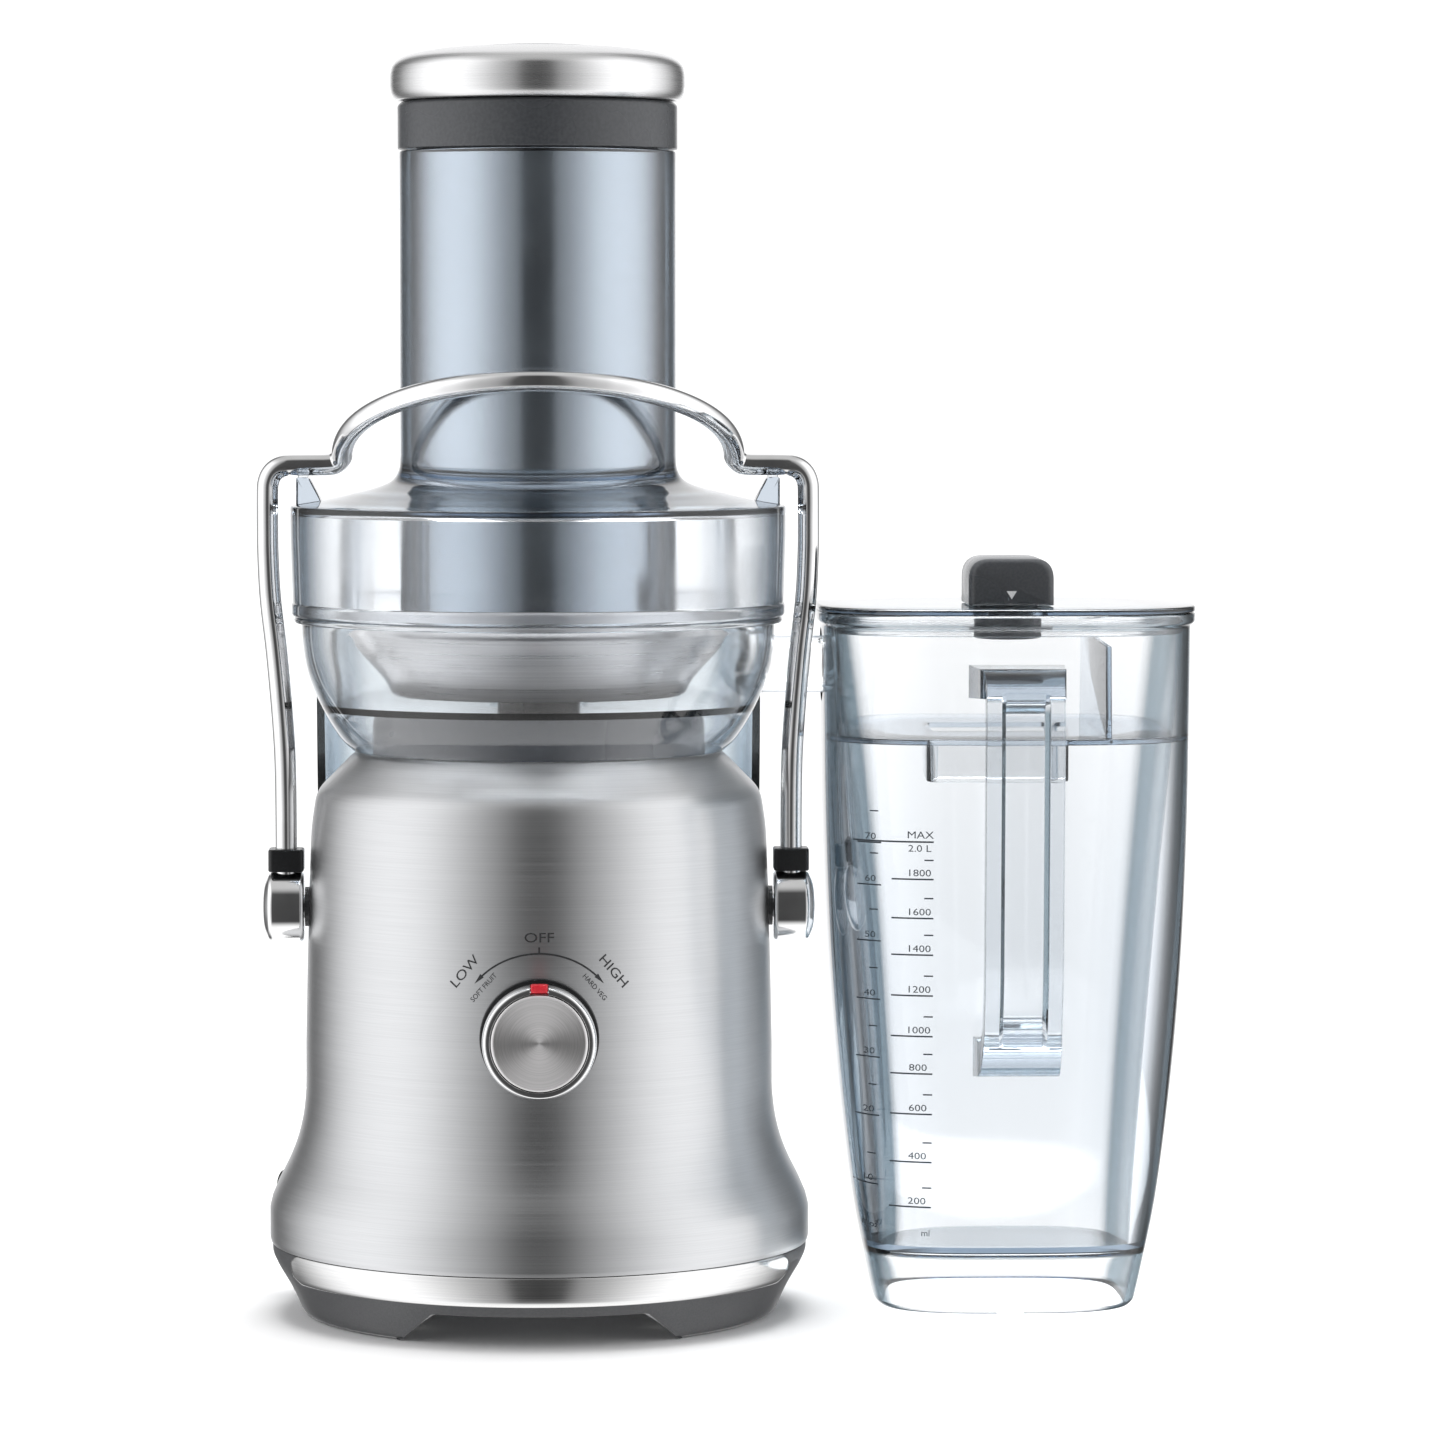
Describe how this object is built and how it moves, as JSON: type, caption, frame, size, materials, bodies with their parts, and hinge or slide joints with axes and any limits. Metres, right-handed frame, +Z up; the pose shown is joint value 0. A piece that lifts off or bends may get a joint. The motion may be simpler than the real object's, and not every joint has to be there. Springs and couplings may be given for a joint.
{
  "type": "centrifugal juicer",
  "caption": "Upright centrifugal juicer with a wide feed chute, sieve basket, bail locking arm, speed dial, pulp container and lidded juice jug.",
  "frame": {"origin": "on the worktop, under the middle of the bounding box of juicer, pulp container and jug together", "axes": "+Z up along the juicer's own axis, -Y to the front where the dial faces, +X to the side where the jug stands"},
  "size_m": [0.332, 0.276, 0.4464],
  "materials": {
    "brushed_steel": "horizontally brushed stainless steel",
    "polished_steel": "polished",
    "chrome": "mirror chrome plate",
    "clear_polycarbonate": "clear, tinted blue-grey, glossy",
    "dark_grey_plastic": "moulded satin",
    "black_plastic": "moulded satin",
    "rubber": "matt",
    "red_plastic": "clear red gloss",
    "steel": "machined",
    "cast_aluminium": "as cast",
    "copper": "varnished copper",
    "circuit_board": "satin lacquer"
  },
  "bodies": {
    "base": {"base_pan": "dark_grey_plastic", "base_screw_front_left": "steel", "base_screw_front_right": "steel", "base_screw_rear_left": "steel", "base_screw_rear_right": "steel", "brush_holder_left": "black_plastic", "brush_holder_right": "black_plastic", "control_board": "circuit_board", "cord_gland": "rubber", "coupling_tower": "dark_grey_plastic", "dial_escutcheon": "dark_grey_plastic", "field_coil_front": "copper", "field_coil_rear": "copper", "filter_bowl": "clear_polycarbonate", "juicer_cover": "clear_polycarbonate", "lower_bearing": "steel", "lower_bearing_bracket": "cast_aluminium", "motor_cradle": "dark_grey_plastic", "motor_housing": "brushed_steel", "pivot_bush_left": "black_plastic", "pivot_bush_right": "black_plastic", "rotary_switch": "black_plastic", "rubber_foot_front_left": "rubber", "rubber_foot_front_right": "rubber", "rubber_foot_rear_left": "rubber", "rubber_foot_rear_right": "rubber", "safety_switch": "black_plastic", "spindle_seal": "rubber", "stator_core": "steel", "trim_band": "polished_steel", "upper_bearing": "steel", "upper_bearing_bracket": "cast_aluminium"},
    "rotor": {"motor_shaft": "steel", "armature": "copper", "commutator": "copper", "cooling_fan": "black_plastic", "drive_coupling": "black_plastic", "basket_hub": "black_plastic", "filter_basket": "steel", "cutting_disc": "steel"},
    "arm": {"locking_arm": "chrome", "arm_hub_left": "chrome", "arm_hub_right": "chrome", "arm_sleeve_left": "black_plastic", "arm_sleeve_right": "black_plastic", "pivot_pin_left": "steel", "pivot_pin_right": "steel"},
    "plunger": {"switch_plunger": "steel"},
    "pusher": {"pusher_body": "clear_polycarbonate", "pusher_collar": "dark_grey_plastic", "pusher_cap": "brushed_steel", "pusher_cap_centre": "dark_grey_plastic"},
    "dial": {"control_dial": "polished_steel", "dial_face": "polished_steel", "dial_pointer": "red_plastic"},
    "pulp_bin": {"pulp_container": "clear_polycarbonate"},
    "jug": {"jug_body": "clear_polycarbonate", "froth_separator": "clear_polycarbonate"},
    "jug_top": {"jug_lid": "clear_polycarbonate"},
    "closure": {"lid_closure": "dark_grey_plastic"}
  },
  "joints": [
    {"name": "arm_swing", "type": "hinge", "parent": "base", "child": "arm", "pos_m": [-0.067, -0.04, 0.1433], "axis": [1, 0, 0], "range_deg": [0, 100]},
    {"name": "switch_travel", "type": "slide", "parent": "base", "child": "plunger", "axis": [0, 0, 1], "range_m": [0, 0.00118]},
    {"name": "rotor_spin", "type": "hinge", "parent": "base", "child": "rotor", "pos_m": [-0.067, -0.04, 0.105], "axis": [0, 0, 1], "continuous": true},
    {"name": "pusher_lift", "type": "slide", "parent": "base", "child": "pusher", "axis": [0, 0, 1], "range_m": [0, 0.185]},
    {"name": "dial_turn", "type": "hinge", "parent": "base", "child": "dial", "pos_m": [-0.067, -0.13, 0.1057], "axis": [0, -1, 0], "range_deg": [-45, 45]},
    {"name": "pulp_bin_slide", "type": "slide", "parent": "base", "child": "pulp_bin", "axis": [0, 1, 0], "range_m": [0, 0.15]},
    {"name": "jug_slide", "type": "slide", "parent": "base", "child": "jug", "axis": [1, 0, 0], "range_m": [0, 0.12]},
    {"name": "jug_lid_lift", "type": "slide", "parent": "jug", "child": "jug_top", "axis": [0, 0, 1], "range_m": [0, 0.06]},
    {"name": "closure_turn", "type": "hinge", "parent": "jug_top", "child": "closure", "pos_m": [0.099, -0.034, 0.25], "axis": [0, 0, 1], "range_deg": [0, 180]}
  ],
  "couplings": [
    {"joint": "switch_travel", "follows": "arm_swing", "m_per_rad": 0.00067}
  ]
}
